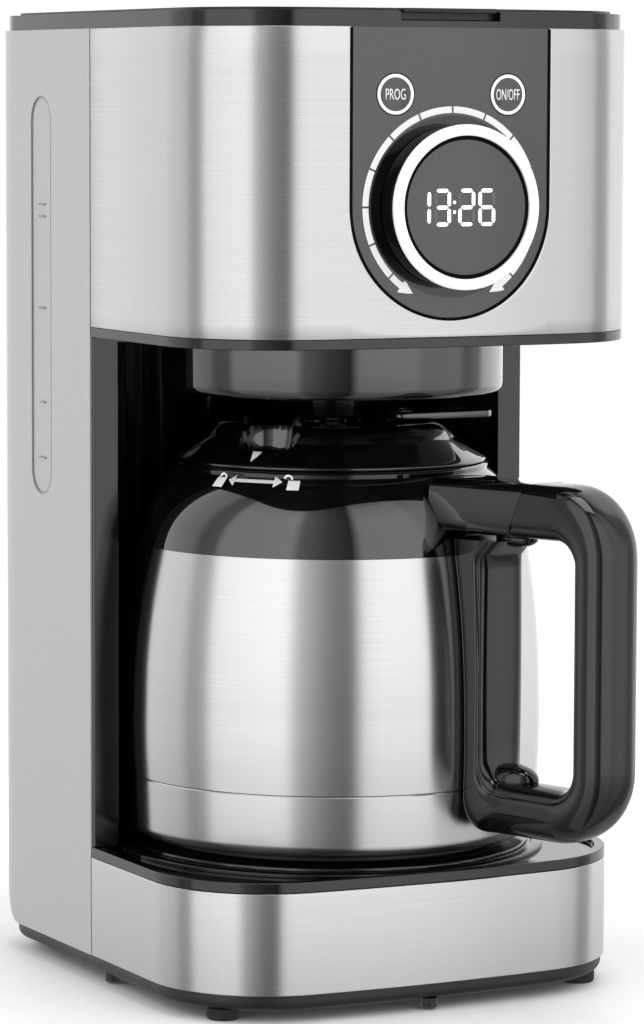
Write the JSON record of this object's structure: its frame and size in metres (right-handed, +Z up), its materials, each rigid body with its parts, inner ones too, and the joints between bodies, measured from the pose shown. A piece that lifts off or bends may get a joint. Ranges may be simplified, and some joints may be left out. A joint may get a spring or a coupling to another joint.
{
  "type": "drip coffee maker",
  "caption": "Drip coffee maker with steel head and base bands, silver rear shell, dial with clock display, lift-up lid and an insulated jug with closed loop handle.",
  "frame": {"origin": "on the table under the centre of the whole outline, jug handle included", "axes": "+Z up, -Y towards the person in front of the dial, +X to that person's right"},
  "size_m": [0.1818, 0.2576, 0.3606],
  "materials": {
    "silver_plastic": "satin silver-grey moulded plastic",
    "gauge_clear": "smoke-clear plastic pane",
    "liner_black": "glossy black moulded plastic",
    "tank_clear": "natural translucent plastic",
    "silicone": "translucent white silicone",
    "black_plastic": "glossy black moulded plastic",
    "matt_black": "fine matt black moulded plastic",
    "steel_sheet": "satin brushed stainless steel",
    "panel_grey": "dark grey gloss panel",
    "trim_silver": "bright silver trim",
    "display_black": "black gloss display window",
    "pin_steel": "plain steel",
    "switch_black": "black moulded plastic",
    "board_green": "green circuit board",
    "heater_metal": "bare cast aluminium",
    "element_metal": "dull steel sheath",
    "flask_steel": "plain stainless steel",
    "rubber_black": "black rubber",
    "spring_steel": "plain spring wire"
  },
  "bodies": {
    "machine": {"base_plate": "matt_black", "base_screws": "pin_steel", "base_steel_band": "steel_sheet", "base_tray": "black_plastic", "bay_liner": "liner_black", "button_switches": "switch_black", "cable_gland": "matt_black", "check_valve": "matt_black", "cold_water_hose": "silicone", "control_board": "board_green", "control_panel": "panel_grey", "display_connector": "switch_black", "display_housing": "display_black", "display_window": "display_black", "drip_stop_spring": "spring_steel", "feet": "rubber_black", "filter_basket": "matt_black", "filter_housing": "black_plastic", "head_frame": "black_plastic", "head_steel_band": "steel_sheet", "heater_tube": "heater_metal", "heating_element": "element_metal", "hinge_pins": "pin_steel", "hot_water_riser": "silicone", "jug_rest": "black_plastic", "locating_pegs": "matt_black", "rear_housing": "silver_plastic", "shower_head": "matt_black", "tank_outlet_seal": "silicone", "thermal_fuses": "switch_black", "thermostat": "element_metal", "top_frame": "black_plastic", "water_gauge_window": "gauge_clear", "water_tank": "tank_clear"},
    "lid": {"lid": "black_plastic"},
    "dial": {"dial_ring": "black_plastic", "dial_trim_ring": "trim_silver"},
    "prog_button": {"prog_button": "panel_grey"},
    "power_button": {"power_button": "panel_grey"},
    "drip_stop": {"drip_stop_plunger": "matt_black", "drip_stop_seal": "silicone"},
    "jug": {"jug_base_cup": "steel_sheet", "jug_collar": "black_plastic", "jug_flask": "flask_steel", "jug_foot_ring": "matt_black", "jug_handle": "black_plastic", "jug_outer_shell": "steel_sheet", "handle_screw": "pin_steel"},
    "jug_lid": {"jug_lid_cover": "black_plastic", "jug_lid_plug": "matt_black", "jug_lid_gasket": "silicone", "brew_valve": "matt_black"}
  },
  "joints": [
    {"name": "lid_hinge", "type": "hinge", "parent": "machine", "child": "lid", "pos_m": [0, 0.10905, 0.3586], "axis": [-1, 0, 0], "range_deg": [0, 100]},
    {"name": "dial_turn", "type": "hinge", "parent": "machine", "child": "dial", "pos_m": [0, -0.0816, 0.2909], "axis": [0, -1, 0], "continuous": true},
    {"name": "prog_press", "type": "slide", "parent": "machine", "child": "prog_button", "axis": [0, 1, 0], "range_m": [0, 0.0008], "stiffness_N_per_m": 600},
    {"name": "power_press", "type": "slide", "parent": "machine", "child": "power_button", "axis": [0, 1, 0], "range_m": [0, 0.0008], "stiffness_N_per_m": 600},
    {"name": "drip_stop_lift", "type": "slide", "parent": "machine", "child": "drip_stop", "axis": [0, 0, 1], "range_m": [0, 0.003], "stiffness_N_per_m": 300, "deforming": ["drip_stop_spring"]},
    {"name": "jug_slide", "type": "slide", "parent": "machine", "child": "jug", "axis": [0, -1, 0], "range_m": [0, 0.24]},
    {"name": "jug_lid_twist", "type": "hinge", "parent": "jug", "child": "jug_lid", "pos_m": [0, 0.01065, 0.195], "axis": [0, 0, 1], "range_deg": [-10, 20]}
  ]
}
